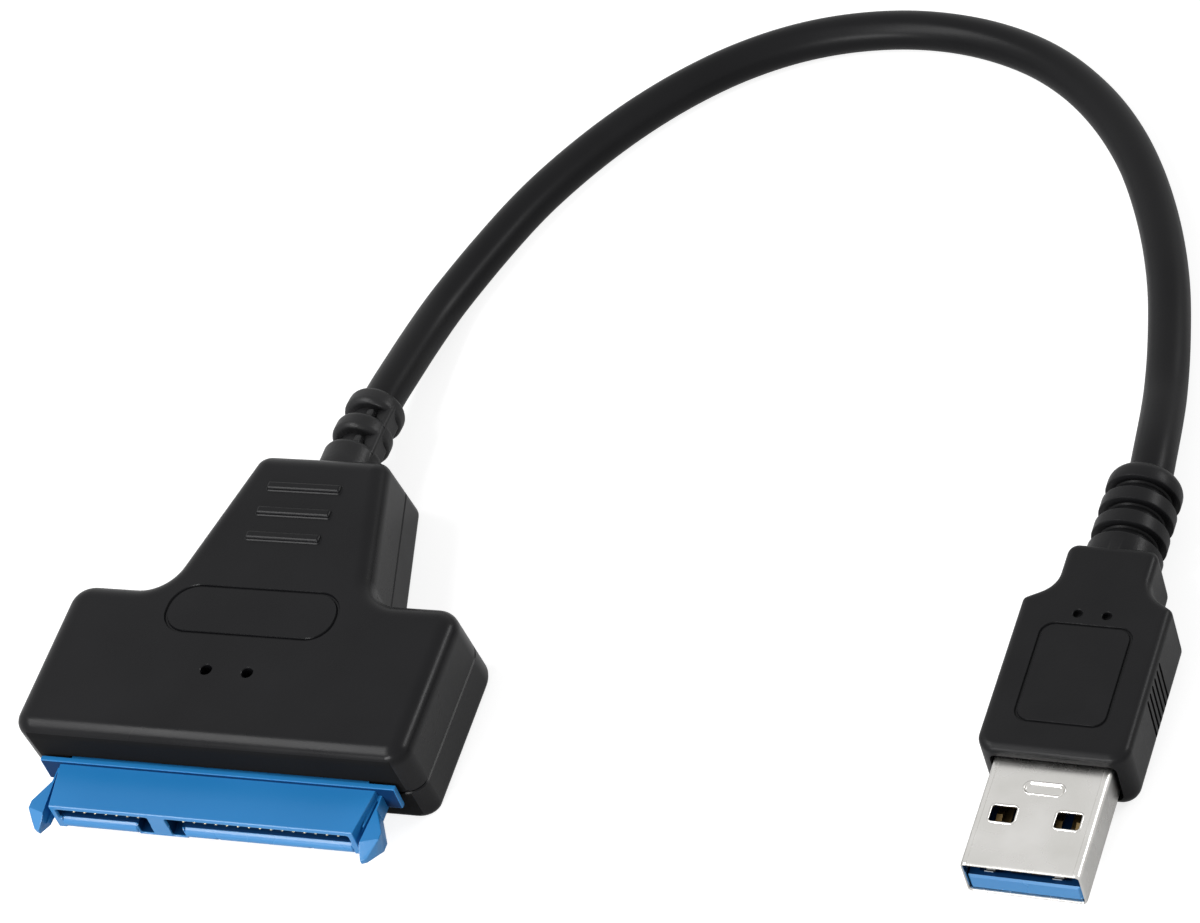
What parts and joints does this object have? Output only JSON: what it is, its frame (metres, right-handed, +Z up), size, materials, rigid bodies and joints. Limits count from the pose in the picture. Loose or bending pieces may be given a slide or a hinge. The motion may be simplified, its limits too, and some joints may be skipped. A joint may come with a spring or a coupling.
{
  "type": "USB to SATA adapter",
  "caption": "Short adapter cable: a flat T-shaped black housing with a blue drive connector, a round cable with ribbed strain reliefs, and a USB-A plug.",
  "frame": {"origin": "on the table, under the middle of the housing with its drive connector and strain relief, the cable and plug left out", "axes": "+Z up; -Y the way the drive connector and the USB plug face; +Y the way the cable leaves the housing; the plug lies on the +X side"},
  "size_m": [0.1184, 0.126, 0.0123],
  "materials": {
    "housing_plastic": "satin black, faintly textured",
    "black_rubber": "smooth black",
    "blue_plastic": "satin blue",
    "nickel": "bright nickel",
    "gold": "gold flash",
    "board_green": "solder mask",
    "chip_black": "moulded package",
    "ceramic": "fired",
    "led_red": "clear lens",
    "led_blue": "clear lens",
    "wire_red": "insulation",
    "wire_white": "insulation",
    "wire_green": "insulation",
    "wire_black": "insulation",
    "wire_blue": "insulation",
    "wire_yellow": "insulation",
    "wire_purple": "insulation",
    "wire_orange": "insulation"
  },
  "bodies": {
    "root": {"lower_shell": "housing_plastic", "upper_shell": "housing_plastic", "circuit_board": "board_green", "bridge_chip": "chip_black", "flash_memory": "chip_black", "voltage_regulator": "chip_black", "crystal": "nickel", "inductor": "ceramic", "capacitor_1": "ceramic", "capacitor_2": "ceramic", "capacitor_3": "ceramic", "power_led": "led_red", "activity_led": "led_blue", "sata_connector_body": "blue_plastic", "sata_strain_relief": "black_rubber", "cable": "black_rubber", "usb_overmould": "housing_plastic", "usb_shell": "nickel", "usb_insulator": "blue_plastic", "sata_contact_s1": "gold", "sata_contact_s2": "gold", "sata_contact_s3": "gold", "sata_contact_s4": "gold", "sata_contact_s5": "gold", "sata_contact_s6": "gold", "sata_contact_s7": "gold", "sata_contact_p1": "gold", "sata_contact_p2": "gold", "sata_contact_p3": "gold", "sata_contact_p4": "gold", "sata_contact_p5": "gold", "sata_contact_p6": "gold", "sata_contact_p7": "gold", "sata_contact_p8": "gold", "sata_contact_p9": "gold", "sata_contact_p10": "gold", "sata_contact_p11": "gold", "sata_contact_p12": "gold", "sata_contact_p13": "gold", "sata_contact_p14": "gold", "sata_contact_p15": "gold", "usb_contact_1": "gold", "usb_contact_2": "gold", "usb_contact_3": "gold", "usb_contact_4": "gold", "usb_contact_5": "gold", "usb_contact_6": "gold", "usb_contact_7": "gold", "usb_contact_8": "gold", "usb_contact_9": "gold", "wire_red": "wire_red", "wire_white": "wire_white", "wire_green": "wire_green", "wire_black": "wire_black", "wire_blue": "wire_blue", "wire_yellow": "wire_yellow", "wire_purple": "wire_purple", "wire_orange": "wire_orange"}
  },
  "joints": []
}
